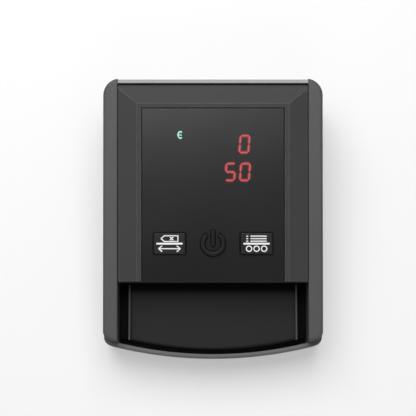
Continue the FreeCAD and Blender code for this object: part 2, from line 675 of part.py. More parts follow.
def bushings():
    """Four plain bearings pressed into the bed's skirts."""
    rings = []
    for y in SHAFTS_Y:
        for side in (-1, 1):
            low, high = sorted((side * FENCE_OUTER, side * (FENCE_OUTER - BUSH_LENGTH)))
            ring = rod(BUSH_RADIUS, low, high, y, SHAFT_Z)
            rings.append(ring.cut(rod(SHAFT_RADIUS + SHAFT_CLEARANCE, low, high, y, SHAFT_Z)))
    return Part.makeCompound(rings)


def encoder_disc():
    """Slotted disc on the feed shaft that a light gate counts."""
    disc = rod(ENCODER_RADIUS, ENCODER_X, ENCODER_X + ENCODER_THICKNESS, FEED_SHAFT_Y, SHAFT_Z)
    half = ENCODER_SLOT_WIDTH / 2
    slot_z = SHAFT_Z + ENCODER_RADIUS - ENCODER_SLOT_DEPTH
    slot = box(-TALL, TALL, FEED_SHAFT_Y - half, FEED_SHAFT_Y + half, slot_z, TALL)
    for i in range(ENCODER_SLOTS):
        turned = slot.copy()
        turned.rotate(Vector(0, FEED_SHAFT_Y, SHAFT_Z), Vector(1, 0, 0), 360.0 * i / ENCODER_SLOTS)
        disc = disc.cut(turned)
    return disc.cut(rod(SHAFT_RADIUS, -TALL, TALL, FEED_SHAFT_Y, SHAFT_Z))


def encoder_sensor():
    """U-shaped light gate that stands on the bottom cover and straddles the encoder disc."""
    x, y = ENCODER_X + ENCODER_THICKNESS / 2, FEED_SHAFT_Y
    half_w, half_l = GATE_WIDTH / 2, GATE_LENGTH / 2
    top = SHAFT_Z - SHAFT_RADIUS - GATE_GAP
    body = box(x - half_w, x + half_w, y - half_l, y + half_l, FLOOR_TOP, top)
    slot_z = SHAFT_Z - ENCODER_RADIUS - GATE_GAP
    return body.cut(box(x - GATE_SLOT / 2, x + GATE_SLOT / 2, -TALL, TALL, slot_z, TALL))


def motor_can():
    """Small brushed motor with flattened sides and a front bearing boss, bored for its shaft."""
    rear = MOTOR_FRONT_X - MOTOR_LENGTH
    can = rod(MOTOR_RADIUS, rear, MOTOR_FRONT_X, MOTOR_Y, MOTOR_Z)
    flats = box(-TALL, TALL, -TALL, TALL, MOTOR_Z - MOTOR_FLAT / 2, MOTOR_Z + MOTOR_FLAT / 2)
    boss = rod(MOTOR_BOSS_RADIUS, MOTOR_FRONT_X, MOTOR_FRONT_X + BRACKET_THICKNESS, MOTOR_Y, MOTOR_Z)
    can = fuse(can.common(flats), boss)
    return can.cut(rod(MOTOR_SHAFT_RADIUS + SHAFT_CLEARANCE, rear + MOTOR_END_WALL, TALL, MOTOR_Y, MOTOR_Z))


def motor_shaft():
    rear = MOTOR_FRONT_X - MOTOR_LENGTH + MOTOR_END_WALL + MOTOR_SHAFT_PLAY
    return rod(MOTOR_SHAFT_RADIUS, rear, MOTOR_BELT_X + PULLEY_WIDTH, MOTOR_Y, MOTOR_Z)


def motor_bracket():
    """Bent steel angle that holds the motor's front face to the bottom cover."""
    x, half = MOTOR_FRONT_X, BRACKET_WIDTH / 2
    upright = box(x, x + BRACKET_THICKNESS, MOTOR_Y - half, MOTOR_Y + half, FLOOR_TOP, MOTOR_Z + BRACKET_RISE)
    foot_y = MOTOR_Y + half - BRACKET_THICKNESS
    foot_end = MOTOR_Y + half + BRACKET_FOOT_LENGTH
    foot = box(x, x + BRACKET_FOOT_WIDTH, foot_y, foot_end, FLOOR_TOP, FLOOR_TOP + BRACKET_THICKNESS)
    return fuse(upright, foot).cut(rod(MOTOR_BOSS_RADIUS, -TALL, TALL, MOTOR_Y, MOTOR_Z))


def main_board():
    """Control board on legs on the bottom cover under the tray, with its processor, header and capacitors."""
    low = FLOOR_TOP + CONTROL_LEG_HEIGHT
    top = low + BOARD_THICKNESS
    half = CONTROL_WIDTH / 2
    middle = (CONTROL_FRONT_Y + CONTROL_REAR_Y) / 2
    inset = CONTROL_LEG_INSET
    board = box(-half, half, CONTROL_FRONT_Y, CONTROL_REAR_Y, low, top)
    chip = CHIP_SIZE / 2
    processor = box(-chip, chip, middle - chip, middle + chip, top, top + CHIP_HEIGHT)
    header_x, header_y = HEADER_X - HEADER_WIDTH / 2, CONTROL_FRONT_Y + inset
    header = box(
        header_x, header_x + HEADER_WIDTH, header_y, header_y + HEADER_LENGTH, top, top + HEADER_HEIGHT
    )
    can_y = CONTROL_REAR_Y - 2 * CAPACITOR_RADIUS
    cans = [
        post(CAPACITOR_RADIUS, CAPACITOR_X + i * CAPACITOR_PITCH, can_y, top, top + CAPACITOR_HEIGHT)
        for i in range(2)
    ]
    places = four_points(half - inset, CONTROL_FRONT_Y + inset, CONTROL_REAR_Y - inset)
    legs = [post(CONTROL_LEG_RADIUS, x, y, FLOOR_TOP, low) for x, y in places]
    return fuse(board, processor, header, *cans, *legs)


def key_pocket(x, grow):
    """Straight-sided opening for a caption key, in the flat lid frame, grown by grow on each side."""
    v = along(KEY_ROW_Y)
    half_w, half_l = KEY_WIDTH / 2 + grow, KEY_LENGTH / 2 + grow
    block = box(x - half_w, x + half_w, v - half_l, v + half_l, -TALL, TALL)
    return block.makeFillet(KEY_CORNER + grow, [e for e in block.Edges if e.BoundBox.ZLength > TALL])


def power_symbol(grow):
    """Open ring and bar of the power key, in the flat lid frame, grown by grow on each side."""
    v = along(KEY_ROW_Y)
    centre = Vector(0, v, -TALL)
    ring = Part.makeCylinder(POWER_RING_RADIUS + grow, 2 * TALL, centre)
    ring = ring.cut(Part.makeCylinder(POWER_RING_RADIUS - POWER_RING_STROKE - grow, 2 * TALL, centre))
    half_gap = math.radians(POWER_RING_GAP_DEG / 2) - grow / POWER_RING_RADIUS
    far = 2 * POWER_RING_RADIUS
    side, back = far * math.sin(half_gap), far * math.cos(half_gap)
    mouth = [centre, centre + Vector(-side, back, 0), centre + Vector(side, back, 0), centre]
    ring = ring.cut(Part.Face(Part.makePolygon(mouth)).extrude(Vector(0, 0, 2 * TALL)))
    half = POWER_BAR_WIDTH / 2 + grow
    bar_top = v + POWER_BAR_TOP
    bar = box(-half, half, bar_top - POWER_BAR_LENGTH - grow, bar_top + grow, -TALL, TALL)
    return ring, bar


def slab(w0, w1):
    return box(-TALL, TALL, -TALL, TALL, w0, w1)


def caption_key(x):
    """Rectangular key with a soft top edge and a flange under the lid that keeps it in."""
    cap = key_pocket(x, 0).common(slab(KEY_BOTTOM_W, KEY_TOP_W))
    cap = cap.makeFillet(KEY_EDGE_RADIUS, [e for e in cap.Edges if abs(e.CenterOfMass.z - KEY_TOP_W) < 0.01])
    flange = key_pocket(x, KEY_FLANGE).common(slab(FLANGE_BOTTOM_W, FLANGE_TOP_W))
    return on_slope(fuse(cap, flange))


def power_key():
    """Ring and bar moulded on one disc, so that the symbol itself is what is pressed."""
    ring, bar = power_symbol(0)
    raised = slab(FLANGE_BOTTOM_W, KEY_TOP_W)
    v = along(KEY_ROW_Y)
    disc = Part.makeCylinder(POWER_RING_RADIUS + KEY_FLANGE, KEY_FLANGE, Vector(0, v, FLANGE_BOTTOM_W))
    stem = Part.makeCylinder(POWER_STEM_RADIUS, FLANGE_TOP_W - KEY_BOTTOM_W, Vector(0, v, KEY_BOTTOM_W))
    return on_slope(fuse(disc, ring.common(raised), bar.common(raised), stem))


def key_openings():
    ring, bar = power_symbol(KEY_CLEARANCE)
    pockets = [key_pocket(x, KEY_CLEARANCE) for x in (-KEY_SPACING, KEY_SPACING)]
    return pockets + [ring, bar]


def top_cover():
    """Lid shell: bevelled frame round the display, skirts down to the note path, hinge barrel at the back."""
    mouth_top = BED_HEIGHT + MOUTH_HEIGHT
    profile = [
        (LID_FRONT_Y, mouth_top),
        (LID_FRONT_Y, rail_top(LID_FRONT_Y) + PLATEAU_RISE),
        (HINGE_Y, rail_top(HINGE_Y) + PLATEAU_RISE),
        (HINGE_Y, HINGE_Z - HINGE_RADIUS),
        (LID_REAR_WALL_Y, HINGE_Z - 2 * HINGE_RADIUS),
        (LID_REAR_WALL_Y, GUIDE_Z),
        (MOUTH_START_Y, GUIDE_Z),
    ]
    barrel = rod(HINGE_RADIUS, -LID_HALF, LID_HALF, HINGE_Y, HINGE_Z)
    cover = fuse(prism_yz(profile, -LID_HALF, LID_HALF), barrel)
    cover = cover.cut(on_slope(frame_cut()))
    front, rear = LID_FRONT_Y + LID_WALL, LID_REAR_WALL_Y - LID_WALL
    inside = [
        (front, 0), (front, rail_top(front) + LID_INSIDE_W), (rear, rail_top(rear) + LID_INSIDE_W), (rear, 0)
    ]
    cover = cover.cut(prism_yz(inside, LID_WALL - LID_HALF, LID_HALF - LID_WALL))
    half = PANEL_HALF + PANEL_GAP
    pocket = box(-half, half, -TALL, along(PANEL_REAR_Y) + PANEL_GAP, PANEL_BOTTOM_W, TALL)
    cover = cover.cut(on_slope(pocket))
    openings = key_openings() + [digit_block(y, LAMP_HOLE_GAP) for y in DIGIT_ROWS_Y]
    openings.append(indicator_block(LAMP_HOLE_GAP))
    for opening in openings:
        cover = cover.cut(on_slope(opening.common(slab(BOARD_TOP_W, PLATEAU_RISE))))
    for side in (-1, 1):
        low, high = sorted((side * (LID_HALF - HINGE_PIN_IN_LID), side * CHANNEL_HALF))
        cover = cover.cut(rod(HINGE_PIN_RADIUS, low, high, HINGE_Y, HINGE_Z))
    for x, y in LID_SCREWS:
        column = post(BOSS_RADIUS, x, y, GUIDE_TOP, rail_top(y))
        cover = cover.fuse(column.cut(above_slope(LID_INSIDE_W + LID_TOP_WALL / 2)))
    cover = cover.removeSplitter()
    for x, y in LID_SCREWS:
        cover = cover.cut(post(SCREW_RADIUS, x, y, GUIDE_Z, GUIDE_TOP + SCREW_LENGTH))
    return cover


def frame_cut():
    """What the sloping bevels take off the top of the lid, in the flat lid frame."""
    side = [(PLATEAU_HALF, PLATEAU_RISE), (LID_HALF, 0), (HALF_W, 0), (HALF_W, TALL), (PLATEAU_HALF, TALL)]
    right = prism_xz(side, -TALL, TALL)
    v_rear, v_hinge = along(PLATEAU_REAR_Y), along(HINGE_Y)
    rear = [(v_rear, PLATEAU_RISE), (v_hinge, 0), (TALL, 0), (TALL, TALL), (v_rear, TALL)]
    return right.fuse([mirrored(right), prism_yz(rear, -TALL, TALL), slab(PLATEAU_RISE, TALL)])


def display_panel():
    """Dark acrylic front plate that covers the displays, let into the lid's frame."""
    v0, v1 = along(LID_FRONT_Y), along(PANEL_REAR_Y)
    panel = box(-PANEL_HALF, PANEL_HALF, v0, v1, PANEL_BOTTOM_W, PANEL_TOP_W)
    for opening in key_openings():
        panel = panel.cut(opening)
    return on_slope(panel)


def digit_block(y, grow):
    """One row of digits, in the flat lid frame, grown by grow on each side."""
    v = along(y)
    half_w, half_l = DIGIT_BLOCK_WIDTH / 2 + grow, DIGIT_BLOCK_LENGTH / 2 + grow
    x = DIGIT_BLOCK_X
    return box(x - half_w, x + half_w, v - half_l, v + half_l, BOARD_TOP_W, LAMP_TOP_W + grow)


def digit_displays():
    """Two rows of seven-segment digits, soldered to the display board."""
    return Part.makeCompound([on_slope(digit_block(y, 0)) for y in DIGIT_ROWS_Y])


def indicator_block(grow):
    """The currency lamp, in the flat lid frame, grown by grow on each side."""
    v = along(INDICATOR_Y)
    x, half = INDICATOR_X, INDICATOR_SIZE / 2 + grow
    return box(x - half, x + half, v - half, v + half, BOARD_TOP_W, LAMP_TOP_W + grow)


def currency_indicator():
    """Light pipe of the currency sign, over its lamp on the display board."""
    return on_slope(indicator_block(0))


def display_board():
    """Board on four spacers under the lid's top, behind the digits and keys."""
    half = PANEL_HALF - BOARD_SIDE_MARGIN
    v0 = along(KEY_ROW_Y) - KEY_LENGTH / 2 - BOARD_END_MARGIN / 2
    v1 = along(INDICATOR_Y) + BOARD_END_MARGIN
    board = box(-half, half, v0, v1, BOARD_TOP_W - BOARD_THICKNESS, BOARD_TOP_W)
    spacers = []
    for x, v in four_points(half - SPACER_INSET, v0 + SPACER_END_INSET, v1 - SPACER_END_INSET):
        spacers.append(post(SPACER_RADIUS, x, v, BOARD_TOP_W, LID_INSIDE_W))
    return on_slope(fuse(board, *spacers))


def tact_switches():
    """One click switch under each key, with its plunger just clear of the pressed key."""
    switches = []
    v, half = along(KEY_ROW_Y), SWITCH_SIZE / 2
    body_top = BOARD_TOP_W + SWITCH_HEIGHT
    for x in (-KEY_SPACING, 0, KEY_SPACING):
        body = box(x - half, x + half, v - half, v + half, BOARD_TOP_W, body_top)
        plunger = post(PLUNGER_RADIUS, x, v, BOARD_TOP_W, KEY_BOTTOM_W - KEY_TRAVEL - PLUNGER_GAP)
        switches.append(on_slope(fuse(body, plunger)))
    return Part.makeCompound(switches)


def upper_guide():
    """Plate that closes the lid over the note path, with a flared mouth and blocks for the pinch axles."""
    half = LID_HALF - LID_WALL - GUIDE_GAP
    front = LID_FRONT_Y + LID_WALL + GUIDE_GAP
    rear = LID_REAR_WALL_Y - LID_WALL - GUIDE_GAP
    rise = (MOUTH_START_Y - front) / MOUTH_FLARE
    profile = [
        (front, GUIDE_Z + rise), (MOUTH_START_Y, GUIDE_Z), (rear, GUIDE_Z),
        (rear, GUIDE_TOP), (MOUTH_START_Y, GUIDE_TOP), (front, GUIDE_TOP + rise),
    ]
    plate = prism_yz(profile, -half, half)
    half_w, half_l = PINCH_BLOCK_WIDTH / 2, PINCH_BLOCK_LENGTH / 2
    blocks = []
    for y in SHAFTS_Y:
        for x in (-PINCH_BLOCK_X, PINCH_BLOCK_X):
            blocks.append(box(x - half_w, x + half_w, y - half_l, y + half_l, GUIDE_TOP, PINCH_BLOCK_TOP))
    plate = fuse(plate, *blocks)
    reach = math.sqrt(PINCH_RADIUS**2 - (GUIDE_TOP - PINCH_Z) ** 2) + WINDOW_CLEARANCE
    half_w = PINCH_WIDTH / 2 + WINDOW_CLEARANCE
    for y in SHAFTS_Y:
        plate = plate.cut(rod(PINCH_AXLE_RADIUS + SHAFT_CLEARANCE, -TALL, TALL, y, PINCH_Z))
        for x in (-ROLLER_X, ROLLER_X):
            plate = plate.cut(box(x - half_w, x + half_w, y - reach, y + reach, 0, GUIDE_TOP))
    plate = plate.cut(sensor_space(0, TALL))
    for x, y in LID_SCREWS:
        plate = plate.cut(post(SCREW_RADIUS + SCREW_CLEARANCE, x, y, 0, TALL))
        plate = plate.cut(post(SCREW_HEAD_RADIUS + SCREW_CLEARANCE, x, y, 0, GUIDE_Z + SCREW_HEAD_HEIGHT))
    return plate


def pinch_axle(y):
    end = PINCH_BLOCK_X + PINCH_BLOCK_WIDTH / 2 + PINCH_AXLE_END
    return rod(PINCH_AXLE_RADIUS, -end, end, y, PINCH_Z)


def pinch_rollers(y):
    wheels = []
    half = PINCH_WIDTH / 2
    for x in (-ROLLER_X, ROLLER_X):
        wheel = rod(PINCH_RADIUS, x - half, x + half, y, PINCH_Z)
        rims = [e for e in wheel.Edges if e.Length > 2 * math.pi * PINCH_RADIUS - 1]
        wheel = wheel.makeChamfer(PINCH_CHAMFER, rims)
        wheels.append(wheel.cut(rod(PINCH_AXLE_RADIUS, x - half, x + half, y, PINCH_Z)))
    return Part.makeCompound(wheels)


def pinch_springs():
    """Steel leaves on the blocks that press each pinch axle towards its feed roller."""
    leaves = []
    half = LEAF_WIDTH / 2
    for y in SHAFTS_Y:
        for side in (-1, 1):
            low, high = sorted((side * (PINCH_BLOCK_X - LEAF_SEAT), side * (PINCH_BLOCK_X + LEAF_REACH)))
            top = PINCH_BLOCK_TOP + LEAF_THICKNESS
            leaves.append(box(low, high, y - half, y + half, PINCH_BLOCK_TOP, top))
    return Part.makeCompound(leaves)


def magnetic_head():
    """Read head that senses magnetic ink, on the upper guide between the roller pairs."""
    return post(HEAD_RADIUS, 0, HEAD_Y, GUIDE_TOP, GUIDE_TOP + HEAD_HEIGHT)


def hinge_pins():
    pins = []
    for side in (-1, 1):
        low, high = sorted((side * (LID_HALF - HINGE_PIN_IN_LID), side * (CHANNEL_HALF + HINGE_PIN_IN_CASE)))
        pins.append(rod(HINGE_PIN_RADIUS, low, high, HINGE_Y, HINGE_Z))
    return Part.makeCompound(pins)


def all_nodes():
    feed, out = FEED_SHAFT_Y, EXIT_SHAFT_Y
    return {
        "lower_housing": lower_housing(),
        "rear_panel": rear_panel(),
        "dc_jack": dc_jack(),
        "card_socket": card_socket(),
        "bottom_cover": bottom_cover(),
        "rubber_feet": rubber_feet(),
        "bottom_screws": screws(BOTTOM_SCREWS, FOOT_HEIGHT + SCREW_HEAD_HEIGHT, True),
        "note_bed": note_bed(),
        "bed_screws": screws(BED_SCREWS, GUTTER_FLOOR, False),
        "lower_sensor_bar": sensor_bar(LOWER_WINDOW_Z - LOWER_SENSOR_HEIGHT, LOWER_WINDOW_Z),
        "lower_sensor_window": sensor_window(LOWER_WINDOW_Z, BED_HEIGHT - WINDOW_SINK),
        "main_board": main_board(),
        "motor_can": motor_can(),
        "motor_bracket": motor_bracket(),
        "shaft_bushings": bushings(),
        "encoder_sensor": encoder_sensor(),
        "motor_belt": belt(MOTOR_BELT_X, feed, SHAFT_Z, PULLEY_RADIUS, MOTOR_Y, MOTOR_Z, MOTOR_PULLEY_RADIUS),
        "shaft_belt": belt(SHAFT_BELT_X, feed, SHAFT_Z, PULLEY_RADIUS, out, SHAFT_Z, PULLEY_RADIUS),
        "feed_shaft": shaft(feed),
        "feed_rollers": rollers(feed),
        "feed_pulley": pulley(PULLEY_RADIUS, MOTOR_BELT_X, feed, SHAFT_Z, SHAFT_RADIUS),
        "feed_link_pulley": pulley(PULLEY_RADIUS, SHAFT_BELT_X, feed, SHAFT_Z, SHAFT_RADIUS),
        "encoder_disc": encoder_disc(),
        "exit_shaft": shaft(out),
        "exit_rollers": rollers(out),
        "exit_pulley": pulley(PULLEY_RADIUS, SHAFT_BELT_X, out, SHAFT_Z, SHAFT_RADIUS),
        "motor_shaft": motor_shaft(),
        "motor_pulley": pulley(MOTOR_PULLEY_RADIUS, MOTOR_BELT_X, MOTOR_Y, MOTOR_Z, MOTOR_SHAFT_RADIUS),
        "top_cover": top_cover(),
        "display_panel": display_panel(),
        "display_board": display_board(),
        "digit_displays": digit_displays(),
        "currency_indicator": currency_indicator(),
        "tact_switches": tact_switches(),
        "upper_guide": upper_guide(),
        "guide_screws": screws(LID_SCREWS, GUIDE_Z + SCREW_HEAD_HEIGHT, True),
        "hinge_pins": hinge_pins(),
        "upper_sensor_bar": sensor_bar(UPPER_WINDOW_Z, UPPER_WINDOW_Z + UPPER_SENSOR_HEIGHT),
        "upper_sensor_window": sensor_window(GUIDE_Z + WINDOW_SINK, UPPER_WINDOW_Z),
        "magnetic_head": magnetic_head(),
        "pinch_springs": pinch_springs(),
        "front_pinch_axle": pinch_axle(feed),
        "front_pinch_rollers": pinch_rollers(feed),
        "rear_pinch_axle": pinch_axle(out),
        "rear_pinch_rollers": pinch_rollers(out),
        "clear_key": caption_key(-KEY_SPACING),
        "power_key": power_key(),
        "report_key": caption_key(KEY_SPACING),
    }


os.makedirs("parts", exist_ok=True)
for name, shape in all_nodes().items():
    shape.exportStep(f"parts/{name}.step")
    print(name, len(shape.Solids), shape.isValid(), round(shape.Volume, 1))
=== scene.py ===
"""Looks of the desktop banknote counter: plastics, rubber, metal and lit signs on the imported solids,
with a pale floor, soft studio light and a camera that looks down on the lid from just in front."""

import math

import bmesh
import bpy
from mathutils import Matrix, Vector


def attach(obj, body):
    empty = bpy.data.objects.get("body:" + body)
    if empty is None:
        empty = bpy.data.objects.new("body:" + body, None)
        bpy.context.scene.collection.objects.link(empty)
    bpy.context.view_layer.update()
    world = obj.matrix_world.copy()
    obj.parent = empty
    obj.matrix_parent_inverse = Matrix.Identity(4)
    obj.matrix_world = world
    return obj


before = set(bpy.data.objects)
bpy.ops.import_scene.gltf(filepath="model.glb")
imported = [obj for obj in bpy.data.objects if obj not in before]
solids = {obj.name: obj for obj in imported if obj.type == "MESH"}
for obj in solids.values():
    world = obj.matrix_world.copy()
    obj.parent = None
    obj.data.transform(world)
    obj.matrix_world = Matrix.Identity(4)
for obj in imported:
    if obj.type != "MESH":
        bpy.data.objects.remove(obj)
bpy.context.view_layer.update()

# The case: housing and bottom cover in dark grey ABS with a spark-eroded grain, and a paler grey rear wall,
# made paler still as a painted highlight for the bright reflection along its top chamfer.
# The three shells are screwed together from below; their edges are painted a little paler, as wear and as a
# painted highlight, and the top of the front lip, over which the notes are pushed, is painted paler still: a
# painted highlight.


def new_group(name, inputs, outputs):
    """A node group with these sockets, and its two end nodes."""
    group = bpy.data.node_groups.new(name, "ShaderNodeTree")
    for way, sockets in (("INPUT", inputs), ("OUTPUT", outputs)):
        for socket, kind in sockets.items():
            group.interface.new_socket(socket, in_out=way, socket_type=kind)
    return group, group.nodes.new("NodeGroupInput"), group.nodes.new("NodeGroupOutput")


def arithmetic(nodes, operation):
    """A node that works on one or two numbers."""
    node = nodes.new("ShaderNodeMath")
    node.operation = operation
    return node


number, vector = "NodeSocketFloat", "NodeSocketVector"
grain_group, entry, leave = new_group(
    "moulded_grain", {"Place": vector, "Grain": number, "Patch": number}, {"Height": number, "Tone": number}
)
nodes, links = grain_group.nodes, grain_group.links
pits = nodes.new("ShaderNodeTexNoise")
pits.inputs["Detail"].default_value = 3.0
pits.inputs["Roughness"].default_value = 0.6
patches = nodes.new("ShaderNodeTexNoise")
patches.inputs["Detail"].default_value = 2.0
for noise, scale, result in ((pits, "Grain", "Height"), (patches, "Patch", "Tone")):
    links.new(entry.outputs["Place"], noise.inputs["Vector"])
    links.new(entry.outputs[scale], noise.inputs["Scale"])
    links.new(noise.outputs["Fac"], leave.inputs[result])

# Eased edges are painted paler: partly wear, partly a painted highlight along edges and creases.
edge_wear_highlight_group, entry, leave = new_group(
    "edge_wear_and_highlight",
    {"Place": vector, "Width": number, "Strength": number, "Crease": number},
    {"Wear_and_highlight": number, "Round": vector},
)
nodes, links = edge_wear_highlight_group.nodes, edge_wear_highlight_group.links
rounded = nodes.new("ShaderNodeBevel")
rounded.samples = 6
surface = nodes.new("ShaderNodeNewGeometry")
agree = nodes.new("ShaderNodeVectorMath")
agree.operation = "DOT_PRODUCT"
edge = nodes.new("ShaderNodeMapRange")
edge.inputs["From Min"].default_value = 0.9995
scuffs = nodes.new("ShaderNodeTexNoise")
scuffs.inputs["Scale"].default_value = 260.0
scuffs.inputs["Detail"].default_value = 4.0
broken = arithmetic(nodes, "MULTIPLY")
amount = arithmetic(nodes, "MULTIPLY")
links.new(entry.outputs["Width"], rounded.inputs["Radius"])
links.new(rounded.outputs["Normal"], agree.inputs[0])
links.new(surface.outputs["Normal"], agree.inputs[1])
links.new(agree.outputs["Value"], edge.inputs["Value"])
links.new(entry.outputs["Crease"], edge.inputs["From Max"])
links.new(entry.outputs["Place"], scuffs.inputs["Vector"])
links.new(edge.outputs["Result"], broken.inputs[0])
links.new(scuffs.outputs["Fac"], broken.inputs[1])
links.new(broken.outputs["Value"], amount.inputs[0])
links.new(entry.outputs["Strength"], amount.inputs[1])
links.new(amount.outputs["Value"], leave.inputs["Wear_and_highlight"])
links.new(rounded.outputs["Normal"], leave.inputs["Round"])


def new_material(name):
    """A material with its nodes, its links and its main shader."""
    material = bpy.data.materials.new(name)
    material.use_nodes = True
    tree = material.node_tree
    return material, tree.nodes, tree.links, tree.nodes["Principled BSDF"]


def object_place(nodes):
    """The place on the piece, in Object coordinates."""
    return nodes.new("ShaderNodeTexCoord").outputs["Object"]


def grain_at(nodes, links, place, grain, patch):
    """The grain group, read at this place, with its own two scales."""
    skin = nodes.new("ShaderNodeGroup")
    skin.node_tree = grain_group
    skin.inputs["Grain"].default_value = grain
    skin.inputs["Patch"].default_value = patch
    links.new(place, skin.inputs["Place"])
    return skin


def blend(nodes, **colours):
    """A blend of two colours; one that isn't given comes in by a link."""
    mix = nodes.new("ShaderNodeMix")
    mix.data_type = "RGBA"
    for socket, colour in colours.items():
        mix.inputs[socket].default_value = (*colour, 1.0)
    return mix


def mask_between(nodes, start, full):
    """A mask that is 0 up to start and 1 from full on."""
    mask = nodes.new("ShaderNodeMapRange")
    mask.inputs["From Min"].default_value = start
    mask.inputs["From Max"].default_value = full
    return mask


def spread_between(nodes, low, high):
    """Spreads a value of 0 to 1 from low to high."""
    spread = nodes.new("ShaderNodeMapRange")
    spread.inputs["To Min"].default_value = low
    spread.inputs["To Max"].default_value = high
    return spread


def moulded_plastic(
    name, dark, pale, rough, grain, depth, patch, wear_highlight, edge=0.0005, crease=0.85, sheen=0.28
):
    """A moulded plastic: two shades in slow patches, eased edges painted paler as wear and as a painted
    highlight, and a fine grain.
    """
    wear_highlight_paler = 2.2
    gloss_play = 0.06
    grain_strength = 0.35
    material, nodes, links, shader = new_material(name)
    shader.inputs["Specular IOR Level"].default_value = sheen
    place = object_place(nodes)
    skin = grain_at(nodes, links, place, grain, patch)
    wear_highlight_node = nodes.new("ShaderNodeGroup")
    wear_highlight_node.node_tree = edge_wear_highlight_group
    wear_highlight_node.inputs["Width"].default_value = edge
    wear_highlight_node.inputs["Strength"].default_value = wear_highlight
    wear_highlight_node.inputs["Crease"].default_value = crease
    shades = blend(nodes, A=dark, B=pale)
    wear_highlight_tint = blend(nodes, B=[wear_highlight_paler * c for c in pale])
    gloss = spread_between(nodes, rough - gloss_play, rough + gloss_play)
    relief = nodes.new("ShaderNodeBump")
    relief.inputs["Strength"].default_value = grain_strength
    relief.inputs["Distance"].default_value = depth
    links.new(place, wear_highlight_node.inputs["Place"])
    links.new(skin.outputs["Tone"], shades.inputs["Factor"])
    links.new(shades.outputs["Result"], wear_highlight_tint.inputs["A"])
    links.new(wear_highlight_node.outputs["Wear_and_highlight"], wear_highlight_tint.inputs["Factor"])
    links.new(wear_highlight_tint.outputs["Result"], shader.inputs["Base Color"])
    links.new(skin.outputs["Tone"], gloss.inputs["Value"])
    links.new(gloss.outputs["Result"], shader.inputs["Roughness"])
    links.new(skin.outputs["Height"], relief.inputs["Height"])
    links.new(wear_highlight_node.outputs["Round"], relief.inputs["Normal"])
    links.new(relief.outputs["Normal"], shader.inputs["Normal"])
    return material


def lay_over(material, mask, colour):
    """Lays a second colour over a plastic's own where the mask is 1."""
    nodes, links = material.node_tree.nodes, material.node_tree.links
    base = nodes["Principled BSDF"].inputs["Base Color"]
    cover = blend(nodes, B=colour)
    links.new(mask, cover.inputs["Factor"])
    links.new(base.links[0].from_socket, cover.inputs["A"])
    links.new(cover.outputs["Result"], base)


def dress(material, *names):
    """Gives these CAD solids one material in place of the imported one."""
    for name in names:
        solids[name].data.materials.clear()
        solids[name].data.materials.append(material)


case_skin = moulded_plastic(
    "case_plastic", (0.076, 0.076, 0.078), (0.090, 0.090, 0.092),
    rough=0.5, grain=1500, depth=0.0001, patch=30, wear_highlight=0.15, edge=0.0018,
)
dress(case_skin, "lower_housing", "bottom_cover")
# The top of the front lip, between the front arc and the rails, is painted paler: a painted highlight.
front_arc_radius = 0.24425
ledge_centre_y = 0.16905
lip_top = 0.026
nodes, links = case_skin.node_tree.nodes, case_skin.node_tree.links
case_place = object_place(nodes)
case_split = nodes.new("ShaderNodeSeparateXYZ")
ledge_centre = nodes.new("ShaderNodeMapping")
ledge_centre.inputs["Scale"].default_value = (1.0, 1.0, 0.0)
ledge_centre.inputs["Location"].default_value = (0.0, -ledge_centre_y, 0.0)
ledge_reach = nodes.new("ShaderNodeVectorMath")
ledge_reach.operation = "LENGTH"
before_rails = mask_between(nodes, front_arc_radius - 0.0001, front_arc_radius + 0.00005)
near_lip_top = mask_between(nodes, lip_top - 0.003, lip_top - 0.0005)
lip_highlight_zone = arithmetic(nodes, "MULTIPLY")
links.new(case_place, ledge_centre.inputs["Vector"])
links.new(ledge_centre.outputs["Vector"], ledge_reach.inputs[0])
links.new(ledge_reach.outputs["Value"], before_rails.inputs["Value"])
links.new(case_place, case_split.inputs["Vector"])
links.new(case_split.outputs["Z"], near_lip_top.inputs["Value"])
links.new(before_rails.outputs["Result"], lip_highlight_zone.inputs[0])
links.new(near_lip_top.outputs["Result"], lip_highlight_zone.inputs[1])
lip_painted_highlight = (0.128, 0.128, 0.130)
lay_over(case_skin, lip_highlight_zone.outputs["Value"], lip_painted_highlight)
# The rear wall's pale grey is lifted as a painted highlight for the reflection along its top chamfer.
rear_skin = moulded_plastic(
    "rear_wall_plastic", (0.33, 0.33, 0.334), (0.37, 0.37, 0.374),
    rough=0.36, grain=2600, depth=0.00004, patch=30, wear_highlight=0.5,
)
dress(rear_skin, "rear_panel")

# Feet and screws: matt black rubber pads stuck in recesses, and small zinc-plated pan-head screws.
# The rubber carries a little dust; the zinc is slightly clouded from the plating bath.
foot_rubber = moulded_plastic(
    "foot_rubber", (0.012, 0.012, 0.012), (0.026, 0.026, 0.026),
    rough=0.85, grain=900, depth=0.0001, patch=120, wear_highlight=0.3,
)
dress(foot_rubber, "rubber_feet")


